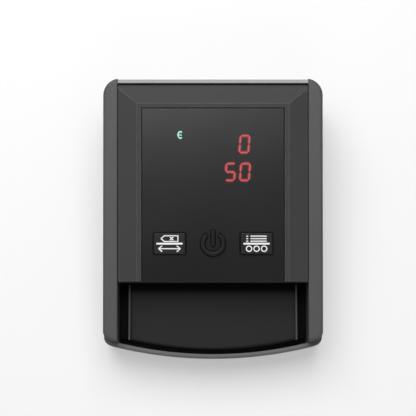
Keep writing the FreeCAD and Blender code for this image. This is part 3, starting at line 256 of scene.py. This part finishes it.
def bare_metal(name, dark, pale, rough, streak):
    """A bare or plated metal with a clouded sheen and fine marks, drawn out along X by a small streak."""
    mark_scale = 1800
    cloud_scale = 160
    gloss_play = 0.08
    mark_strength = 0.15
    mark_depth = 0.00003
    material, nodes, links, shader = new_material(name)
    shader.inputs["Metallic"].default_value = 1.0
    stretch = nodes.new("ShaderNodeMapping")
    stretch.inputs["Scale"].default_value = (streak, 1.0, 1.0)
    links.new(object_place(nodes), stretch.inputs["Vector"])
    skin = grain_at(nodes, links, stretch.outputs["Vector"], mark_scale, cloud_scale)
    shades = blend(nodes, A=dark, B=pale)
    gloss = spread_between(nodes, rough - gloss_play, rough + gloss_play)
    relief = nodes.new("ShaderNodeBump")
    relief.inputs["Strength"].default_value = mark_strength
    relief.inputs["Distance"].default_value = mark_depth
    links.new(skin.outputs["Tone"], shades.inputs["Factor"])
    links.new(shades.outputs["Result"], shader.inputs["Base Color"])
    links.new(skin.outputs["Tone"], gloss.inputs["Value"])
    links.new(gloss.outputs["Result"], shader.inputs["Roughness"])
    links.new(skin.outputs["Height"], relief.inputs["Height"])
    links.new(relief.outputs["Normal"], shader.inputs["Normal"])
    return material


zinc = bare_metal("zinc_plate", (0.42, 0.43, 0.45), (0.62, 0.63, 0.65), rough=0.35, streak=1.0)
dress(zinc, "bottom_screws", "bed_screws", "guide_screws")

# Sockets in the rear wall: a round power socket and a slot-in card reader, both in black nylon.
# They are snapped in from behind, and their mouths are polished by plugs.
socket_nylon = moulded_plastic(
    "socket_nylon", (0.008, 0.008, 0.008), (0.014, 0.014, 0.014),
    rough=0.4, grain=1800, depth=0.00003, patch=90, wear_highlight=0.6,
)
dress(socket_nylon, "dc_jack", "card_socket")

# Note bed and upper guide: smooth near-black ABS, so that notes slide, with a satin polish.
# Both are single mouldings, screwed to the housing's ledges and the lid; the gutters are painted near-black
# as painted shade, a strip across the mouth is painted near-black as the lid's painted shadow, and the fence
# tops are painted paler as a painted highlight.
slide_dark, slide_pale = (0.017, 0.017, 0.0174), (0.021, 0.021, 0.0214)
slide_finish = {"rough": 0.55, "grain": 3200, "depth": 0.00002, "patch": 45, "wear_highlight": 0.9, "sheen": 0.1}
tray_skin = moulded_plastic("tray_plastic", slide_dark, slide_pale, **slide_finish)
dress(tray_skin, "note_bed")
# Painted shade in the gutters below the bed, and the lid's painted shadow in a strip across the mouth, both
# near-black.
shade_top, shade_full = 0.0225, 0.0185
mouth_y = -0.0355
strip_half, strip_fade = 0.0036, 0.0026
fence_top = 0.0275
nodes, links = tray_skin.node_tree.nodes, tray_skin.node_tree.links
tray_split = nodes.new("ShaderNodeSeparateXYZ")
gutter_depth = mask_between(nodes, shade_top, shade_full)
mouth_offset = arithmetic(nodes, "ADD")
mouth_offset.inputs[1].default_value = -mouth_y
mouth_distance = arithmetic(nodes, "ABSOLUTE")
mouth_shadow_strip = mask_between(nodes, strip_half + strip_fade, strip_half)
painted_shade_zone = arithmetic(nodes, "MAXIMUM")
# The tops of the fences are painted paler: a painted highlight.
fence_crest = mask_between(nodes, fence_top - 0.0005, fence_top - 0.0001)
links.new(object_place(nodes), tray_split.inputs["Vector"])
links.new(tray_split.outputs["Z"], gutter_depth.inputs["Value"])
links.new(tray_split.outputs["Y"], mouth_offset.inputs[0])
links.new(mouth_offset.outputs["Value"], mouth_distance.inputs[0])
links.new(mouth_distance.outputs["Value"], mouth_shadow_strip.inputs["Value"])
links.new(gutter_depth.outputs["Result"], painted_shade_zone.inputs[0])
links.new(mouth_shadow_strip.outputs["Result"], painted_shade_zone.inputs[1])
links.new(tray_split.outputs["Z"], fence_crest.inputs["Value"])
painted_shade_black = (0.0015, 0.0015, 0.0015)
fence_painted_highlight = (0.070, 0.070, 0.071)
lay_over(tray_skin, painted_shade_zone.outputs["Value"], painted_shade_black)
lay_over(tray_skin, fence_crest.outputs["Result"], fence_painted_highlight)
guide_skin = moulded_plastic("guide_plastic", slide_dark, slide_pale, **slide_finish)
dress(guide_skin, "upper_guide")

# Sensor strips: black carriers across the note path, each with a dark filter window on its face.
# The windows are polished glass that lets infrared through and looks almost black.
sensor_black = moulded_plastic(
    "sensor_black", (0.009, 0.009, 0.010), (0.014, 0.014, 0.015),
    rough=0.55, grain=2200, depth=0.00003, patch=80, wear_highlight=0.3,
)
dress(sensor_black, "lower_sensor_bar", "upper_sensor_bar")
filter_glass, nodes, links, glass_shader = new_material("filter_glass")
glass_shader.inputs["Coat Weight"].default_value = 0.6
haze_grain, haze_patch = 400, 60
glass_haze = grain_at(nodes, links, object_place(nodes), haze_grain, haze_patch)
glass_tint = blend(nodes, A=(0.012, 0.006, 0.012), B=(0.022, 0.010, 0.020))
wiped_rough, smeared_rough = 0.06, 0.2
glass_smear = spread_between(nodes, wiped_rough, smeared_rough)
links.new(glass_haze.outputs["Tone"], glass_tint.inputs["Factor"])
links.new(glass_tint.outputs["Result"], glass_shader.inputs["Base Color"])
links.new(glass_haze.outputs["Tone"], glass_smear.inputs["Value"])
links.new(glass_smear.outputs["Result"], glass_shader.inputs["Roughness"])
dress(filter_glass, "lower_sensor_window", "upper_sensor_window")

# Drive train: ground steel shafts in bronze bushes, grooved rubber rollers, nylon pulleys and flat belts.
# A motor in a drawn steel can, on a zinc-plated bracket, turns the feed shaft, and a black nylon disc and
# fork count its turns. The magnetic head is of ground steel too, and the lid's hinge pins are blued.
ground_steel = bare_metal("ground_steel", (0.50, 0.50, 0.51), (0.66, 0.66, 0.67), rough=0.24, streak=0.15)
dress(ground_steel, "feed_shaft", "exit_shaft", "front_pinch_axle", "rear_pinch_axle", "motor_shaft")
dress(ground_steel, "motor_can", "magnetic_head")
dress(zinc, "motor_bracket", "pinch_springs")
dress(socket_nylon, "encoder_sensor", "encoder_disc")
blued_steel = bare_metal("blued_steel", (0.020, 0.020, 0.022), (0.035, 0.035, 0.038), rough=0.5, streak=0.15)
dress(blued_steel, "hinge_pins")
bush_bronze = bare_metal("bush_bronze", (0.40, 0.26, 0.11), (0.58, 0.40, 0.18), rough=0.45, streak=1.0)
dress(bush_bronze, "shaft_bushings")
roller_rubber = moulded_plastic(
    "roller_rubber", (0.060, 0.060, 0.062), (0.095, 0.095, 0.097),
    rough=0.75, grain=1400, depth=0.0001, patch=150, wear_highlight=0.8,
)
dress(roller_rubber, "feed_rollers", "exit_rollers", "front_pinch_rollers", "rear_pinch_rollers")
belt_rubber = moulded_plastic(
    "belt_rubber", (0.010, 0.010, 0.010), (0.020, 0.020, 0.020),
    rough=0.7, grain=1600, depth=0.00008, patch=180, wear_highlight=0.5,
)
dress(belt_rubber, "motor_belt", "shaft_belt")
pulley_nylon = moulded_plastic(
    "pulley_nylon", (0.58, 0.56, 0.51), (0.68, 0.66, 0.61),
    rough=0.45, grain=1500, depth=0.00003, patch=90, wear_highlight=0.1,
)
dress(pulley_nylon, "feed_pulley", "feed_link_pulley", "exit_pulley", "motor_pulley")

# Circuit boards: green solder mask on glass-fibre laminate, with faint copper runs showing under the mask.
# One stands on the bottom cover under the tray; the other hangs under the lid behind the digits, and
# carries the black click switches of the keys.
laminate, nodes, links, board_shader = new_material("board_laminate")
copper_runs = nodes.new("ShaderNodeTexBrick")
copper_runs.inputs["Scale"].default_value = 160.0
copper_runs.inputs["Mortar Size"].default_value = 0.06
copper_runs.inputs["Color1"].default_value = (0.010, 0.090, 0.040, 1.0)
copper_runs.inputs["Color2"].default_value = (0.012, 0.105, 0.048, 1.0)
copper_runs.inputs["Mortar"].default_value = (0.030, 0.170, 0.080, 1.0)
mask_rough, run_rough = 0.28, 0.45
mask_gloss = spread_between(nodes, mask_rough, run_rough)
links.new(object_place(nodes), copper_runs.inputs["Vector"])
links.new(copper_runs.outputs["Color"], board_shader.inputs["Base Color"])
links.new(copper_runs.outputs["Fac"], mask_gloss.inputs["Value"])
links.new(mask_gloss.outputs["Result"], board_shader.inputs["Roughness"])
dress(laminate, "main_board", "display_board")
dress(sensor_black, "tact_switches")

# Lid: the bevelled frame round the display, moulded in the same grey as the case but a shade darker.
# Its mitred bevels catch the light along their creases, and edges and creases are painted paler: a painted
# highlight, with a little wear.
lid_skin = moulded_plastic(
    "lid_plastic", (0.048, 0.048, 0.050), (0.057, 0.057, 0.059),
    rough=0.5, grain=1500, depth=0.00012, patch=30, wear_highlight=1.6, crease=0.995, sheen=0.1,
)
dress(lid_skin, "top_cover")

# Display panel: a plate of smoked acrylic let into the lid, satin on its face, over the digits and the lamp.
# It shows a soft sheen of the light above and a few fine wiping marks.
panel_skin = moulded_plastic(
    "panel_acrylic", (0.004, 0.004, 0.0044), (0.005, 0.005, 0.0055),
    rough=0.26, grain=1200, depth=0.000004, patch=14, wear_highlight=0.5, sheen=0.5,
)
dress(panel_skin, "display_panel")

# Digits: red light-emitting seven-segment blocks behind the panel, lit as 0 over 50.
# Each bar is a slim pointed lozenge with a dull red glow round it, and the digits lean to the right.
digit_body = moulded_plastic(
    "digit_block", (0.030, 0.006, 0.006), (0.045, 0.008, 0.008),
    rough=0.4, grain=1500, depth=0.00002, patch=90, wear_highlight=0.1,
)
dress(digit_body, "digit_displays")
slope_y, slope_z = 0.0761, 0.055
slope_angle = math.radians(7.0)
lid_slope = Matrix.Translation((0.0, slope_y, slope_z)) @ Matrix.Rotation(slope_angle, 4, "X")
panel_face = 0.002
sign_height = 0.00004


def along_slope(y):
    """Distance along the lid's slope of the point above y."""
    return (y - slope_y) / math.cos(slope_angle)


def flat_bar(sign, x, v, length, width, angle=0.0, taper=0.0):
    """Adds one flat bar to a sign: centre, length along its own axis, width, turn and pointed ends."""
    made = bmesh.ops.create_grid(sign, x_segments=1, y_segments=1, size=0.5)
    corners = made["verts"]
    bmesh.ops.scale(sign, vec=(length, width, 1.0), verts=corners)
    if taper:
        cut = bmesh.ops.bevel(
            sign, geom=corners, offset=taper, segments=1, profile=0.5, affect="VERTICES", material=-1
        )
        corners = cut["verts"]
    turn = Matrix.Translation((x, v, 0.0)) @ Matrix.Rotation(angle, 4, "Z")
    bmesh.ops.transform(sign, matrix=turn, verts=corners)


def raise_sign(sign, name, face, material, body):
    """Gives a flat sign its slight thickness, lays it on the lid's slope and makes it ride on a body."""
    bmesh.ops.recalc_face_normals(sign, faces=sign.faces)
    grown = bmesh.ops.extrude_face_region(sign, geom=list(sign.faces))
    lifted = [g for g in grown["geom"] if isinstance(g, bmesh.types.BMVert)]
    bmesh.ops.translate(sign, vec=(0.0, 0.0, sign_height), verts=lifted)
    bmesh.ops.recalc_face_normals(sign, faces=sign.faces)
    bmesh.ops.transform(sign, matrix=lid_slope @ Matrix.Translation((0.0, 0.0, face)), verts=sign.verts)
    mesh = bpy.data.meshes.new(name)
    sign.to_mesh(mesh)
    sign.free()
    mesh.materials.append(material)
    piece = bpy.data.objects.new(name, mesh)
    bpy.context.scene.collection.objects.link(piece)
    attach(piece, body)


def lit_sign(name, deep, bright, strength):
    """A glowing sign: a dark base with light that is a little uneven along its length."""
    grain_scale = 900
    patch_scale = 420
    dimmer = 0.8
    material, nodes, links, shader = new_material(name)
    shader.inputs["Base Color"].default_value = (*deep, 1.0)
    shader.inputs["Roughness"].default_value = 0.4
    shader.inputs["Emission Strength"].default_value = strength
    skin = grain_at(nodes, links, object_place(nodes), grain_scale, patch_scale)
    glow = blend(nodes, A=[dimmer * c for c in bright], B=bright)
    links.new(skin.outputs["Tone"], glow.inputs["Factor"])
    links.new(glow.outputs["Result"], shader.inputs["Emission Color"])
    return material


red_light = lit_sign("red_light", (0.10, 0.01, 0.01), (0.74, 0.060, 0.065), strength=0.95)
red_glow = lit_sign("red_glow", (0.006, 0.004, 0.004), (0.130, 0.008, 0.010), strength=1.0)
digit_tall, digit_wide = 0.0094, 0.0050
bar_wide, halo_wide = 0.00078, 0.0021
bar_gap = 0.0003
bar_point = 0.45
digit_lean = math.radians(4.5)
half_wide, upright = digit_wide / 2, math.pi / 2
segment_places = {
    "top": (0.0, digit_tall / 2, 0.0),
    "middle": (0.0, 0.0, 0.0),
    "bottom": (0.0, -digit_tall / 2, 0.0),
    "upper_left": (-half_wide, digit_tall / 4, upright),
    "upper_right": (half_wide, digit_tall / 4, upright),
    "lower_left": (-half_wide, -digit_tall / 4, upright),
    "lower_right": (half_wide, -digit_tall / 4, upright),
}
ring_of_six = ("top", "bottom", "upper_left", "upper_right", "lower_left", "lower_right")
shape_of_five = ("top", "upper_left", "middle", "lower_right", "bottom")
digit_signs = (
    ("upper_zero", 0.0176, 0.0407, ring_of_six),
    ("lower_five", 0.0097, 0.0252, shape_of_five),
    ("lower_zero", 0.0179, 0.0252, ring_of_six),
)
digit_layers = (
    ("", bar_wide, panel_face, red_light),
    ("_glow", halo_wide, panel_face - sign_height / 2, red_glow),
)
lean = Matrix.Identity(4)
lean[0][1] = math.tan(digit_lean)
for digit_name, digit_x, digit_y, segments in digit_signs:
    for layer, wide, face, light in digit_layers:
        digit = bmesh.new()
        for segment in segments:
            x, v, turned = segment_places[segment]
            reach = digit_tall / 2 if turned else digit_wide
            flat_bar(digit, x, v, reach - bar_gap, wide, turned, bar_point * wide)
        bmesh.ops.transform(digit, matrix=lean, verts=digit.verts)
        bmesh.ops.translate(digit, vec=(digit_x, along_slope(digit_y), 0.0), verts=digit.verts)
        raise_sign(digit, digit_name + layer, face, light, "lid")

# Currency lamp: a pale green lit euro sign at the upper left of the panel, over its light pipe.
# The sign is an open ring with two short bars, cut in a mask behind the acrylic.
pipe_skin = moulded_plastic(
    "light_pipe", (0.16, 0.34, 0.27), (0.20, 0.40, 0.32),
    rough=0.25, grain=900, depth=0.00001, patch=200, wear_highlight=0.1,
)
dress(pipe_skin, "currency_indicator")
mint_light = lit_sign("mint_light", (0.10, 0.30, 0.22), (0.50, 0.82, 0.70), strength=0.9)
euro_x, euro_y = -0.0183, 0.0458
euro_radius, euro_stroke = 0.0017, 0.0007
euro_start, euro_sweep = math.radians(48.0), math.radians(264.0)
euro_narrow, euro_tall = 0.76, 1.08
euro_bar_x, euro_bar_v = -0.0005, 0.0003
euro_bar_long, euro_bar_wide = 0.0026, 0.00026
euro = bmesh.new()
inner = euro.verts.new((euro_radius - euro_stroke / 2, 0.0, 0.0))
outer = euro.verts.new((euro_radius + euro_stroke / 2, 0.0, 0.0))
stroke = euro.edges.new((inner, outer))
bmesh.ops.rotate(euro, cent=(0, 0, 0), matrix=Matrix.Rotation(euro_start, 3, "Z"), verts=[inner, outer])
bmesh.ops.spin(
    euro, geom=[stroke, inner, outer], cent=(0, 0, 0), axis=(0, 0, 1), angle=euro_sweep, steps=22
)
bmesh.ops.scale(euro, vec=(euro_narrow, euro_tall, 1.0), verts=euro.verts)
for side in (-1, 1):
    flat_bar(euro, euro_bar_x, side * euro_bar_v, euro_bar_long, euro_bar_wide)
bmesh.ops.translate(euro, vec=(euro_x, along_slope(euro_y), 0.0), verts=euro.verts)
raise_sign(euro, "euro_sign", panel_face, mint_light, "lid")

# Keys: two caption keys and the power key between them, in satin black plastic, proud of the panel.
# Each slides in a pocket of the lid and presses a click switch on the board below.
# The keys' edges are painted paler, as wear and as a painted highlight.
key_skin = moulded_plastic(
    "key_plastic", (0.008, 0.008, 0.0085), (0.010, 0.010, 0.0105),
    rough=0.45, grain=2200, depth=0.00002, patch=60, wear_highlight=1.2, edge=0.0009,
)
dress(key_skin, "clear_key", "report_key")
# The power key's edges are painted much paler all round: a painted highlight that makes the ring stand out.
power_skin = moulded_plastic(
    "power_key_plastic", (0.004, 0.004, 0.0045), (0.006, 0.006, 0.0065),
    rough=0.35, grain=2200, depth=0.00002, patch=60, wear_highlight=3.0, edge=0.0010,
)
dress(power_skin, "power_key")

# Key print: white pad-printed pictograms over and under a dividing line, in place of words.
# The left key clears the count or turns the feed round; the right key lists the total or picks the currency.
key_print = moulded_plastic(
    "key_print", (0.84, 0.84, 0.84), (0.92, 0.92, 0.92),
    rough=0.55, grain=3000, depth=0.00001, patch=300, wear_highlight=0.0, edge=0.00002,
)
key_face = 0.0040
key_row = along_slope(-0.0146)
row_gap = 0.0028
upper_row, lower_row = key_row + row_gap, key_row - row_gap
line_wide = 0.0006
divider_long, divider_wide = 0.0146, 0.0010
key_x = 0.0243


def ring_mark(sign, x, v, radius, stroke):
    """Adds a flat ring to a sign by turning a short edge all the way round."""
    inner = sign.verts.new((x + radius - stroke, v, 0.0))
    outer = sign.verts.new((x + radius, v, 0.0))
    edge = sign.edges.new((inner, outer))
    bmesh.ops.spin(
        sign, geom=[edge, inner, outer], cent=(x, v, 0), axis=(0, 0, 1), angle=2 * math.pi, steps=24,
        use_merge=True,
    )


cross_x, cross_long, cross_turn = 0.0012, 0.0026, math.radians(45.0)
tag_x, tag_long, tag_half = 0.0009, 0.0076, 0.0016
tag_back_x, tag_back_long = 0.0047, 0.0032
point_x, point_long, point_turn = -0.0038, 0.0026, math.radians(40.0)
arrow_long, arrow_tip = 0.0118, 0.0060
barb_back, barb_long, barb_turn = 0.0009, 0.0027, math.radians(40.0)
slant_half = 0.0008
clear_sign = bmesh.new()
flat_bar(clear_sign, -key_x, key_row, divider_long, divider_wide)
for side in (1, -1):
    flat_bar(clear_sign, cross_x - key_x, upper_row, cross_long, line_wide, side * cross_turn)
for side in (-1, 1):
    flat_bar(clear_sign, tag_x - key_x, upper_row + side * tag_half, tag_long, line_wide)
    point_v = upper_row + side * slant_half
    flat_bar(clear_sign, point_x - key_x, point_v, point_long, line_wide, side * point_turn)
flat_bar(clear_sign, tag_back_x - key_x, upper_row, tag_back_long + line_wide, line_wide, upright)
flat_bar(clear_sign, -key_x, lower_row, arrow_long, line_wide)
for end in (-1, 1):
    barb_x = end * (arrow_tip - barb_back) - key_x
    for side in (-1, 1):
        barb_v = lower_row + side * slant_half
        flat_bar(clear_sign, barb_x, barb_v, barb_long, line_wide, -end * side * barb_turn)
raise_sign(clear_sign, "clear_key_print", key_face, key_print, "clear_button")

list_x, list_long, list_gap = 0.0011, 0.0090, 0.0014
dot_x, dot_long = -0.0052, 0.0010
coin_gap, coin_radius = 0.0042, 0.0018
report_sign = bmesh.new()
flat_bar(report_sign, key_x, key_row, divider_long, divider_wide)
for line in (-1, 0, 1):
    flat_bar(report_sign, key_x + list_x, upper_row + line * list_gap, list_long, line_wide)
    flat_bar(report_sign, key_x + dot_x, upper_row + line * list_gap, dot_long, line_wide)
for coin in (-1, 0, 1):
    ring_mark(report_sign, key_x + coin * coin_gap, lower_row, coin_radius, line_wide)
raise_sign(report_sign, "report_key_print", key_face, key_print, "report_button")

# Floor: a wide sheet of pale paper that the machine stands on.
# It is plain white and takes the shadow; the camera sees it a little brighter than it lights the machine.
paper_reach = 3.0
paper_lift = 0.355
paper, nodes, links, paper_shader = new_material("floor_paper")
paper_shader.inputs["Base Color"].default_value = (0.60, 0.60, 0.603, 1.0)
paper_shader.inputs["Roughness"].default_value = 0.9
paper_shader.inputs["Specular IOR Level"].default_value = 0.1
paper_shader.inputs["Emission Color"].default_value = (1.0, 1.0, 1.0, 1.0)
sight = nodes.new("ShaderNodeLightPath")
seen = arithmetic(nodes, "ADD")
seen_through = arithmetic(nodes, "ADD")
lift = arithmetic(nodes, "MULTIPLY")
lift.inputs[1].default_value = paper_lift
links.new(sight.outputs["Is Camera Ray"], seen.inputs[0])
links.new(sight.outputs["Is Glossy Ray"], seen.inputs[1])
links.new(seen.outputs["Value"], seen_through.inputs[0])
links.new(sight.outputs["Is Transmission Ray"], seen_through.inputs[1])
links.new(seen_through.outputs["Value"], lift.inputs[0])
links.new(lift.outputs["Value"], paper_shader.inputs["Emission Strength"])
sheet = bmesh.new()
bmesh.ops.create_grid(sheet, x_segments=1, y_segments=1, size=paper_reach)
floor_mesh = bpy.data.meshes.new("floor")
sheet.to_mesh(floor_mesh)
sheet.free()
floor_mesh.materials.append(paper)
floor = bpy.data.objects.new("floor", floor_mesh)
bpy.context.scene.collection.objects.link(floor)

# Light: a large soft box from the rear above, a weak one from the front, and even light from all round.
# The camera looks down from just in front, so that the lid fills the frame as on a product sheet.
even_light = 0.22
world = bpy.data.worlds.new("studio")
bpy.context.scene.world = world
world.use_nodes = True
world.node_tree.nodes["Background"].inputs["Color"].default_value = (1.0, 1.0, 1.0, 1.0)
world.node_tree.nodes["Background"].inputs["Strength"].default_value = even_light


def soft_box(name, place, aim, size, power):
    """A square soft box at a place, turned to what it lights."""
    lamp = bpy.data.lights.new(name, "AREA")
    lamp.shape = "SQUARE"
    lamp.size = size
    lamp.energy = power
    holder = bpy.data.objects.new(name, lamp)
    holder.location = place
    holder.rotation_euler = (Vector(aim) - Vector(place)).to_track_quat("-Z", "Y").to_euler()
    bpy.context.scene.collection.objects.link(holder)


soft_box("key_box", place=(-0.10, 0.42, 0.84), aim=(0.0, 0.0, 0.03), size=0.80, power=8.9)
soft_box("front_box", place=(0.06, -0.55, 0.50), aim=(0.0, -0.05, 0.03), size=0.40, power=0.6)

view = bpy.data.cameras.new("view")
view.lens = 108.5
view.sensor_width = 36.0
view.clip_start = 0.01
eye = bpy.data.objects.new("view", view)
eye_tilt = math.radians(8.0)
eye_distance = 0.72
eye_aim = Vector((-0.0028, 0.0075, 0.030))
eye.location = eye_aim + Vector((0.0, -math.sin(eye_tilt), math.cos(eye_tilt))) * eye_distance
eye.rotation_euler = (eye_tilt, 0.0, 0.0)
bpy.context.scene.collection.objects.link(eye)
bpy.context.scene.camera = eye
bpy.context.scene.view_settings.view_transform = "Standard"
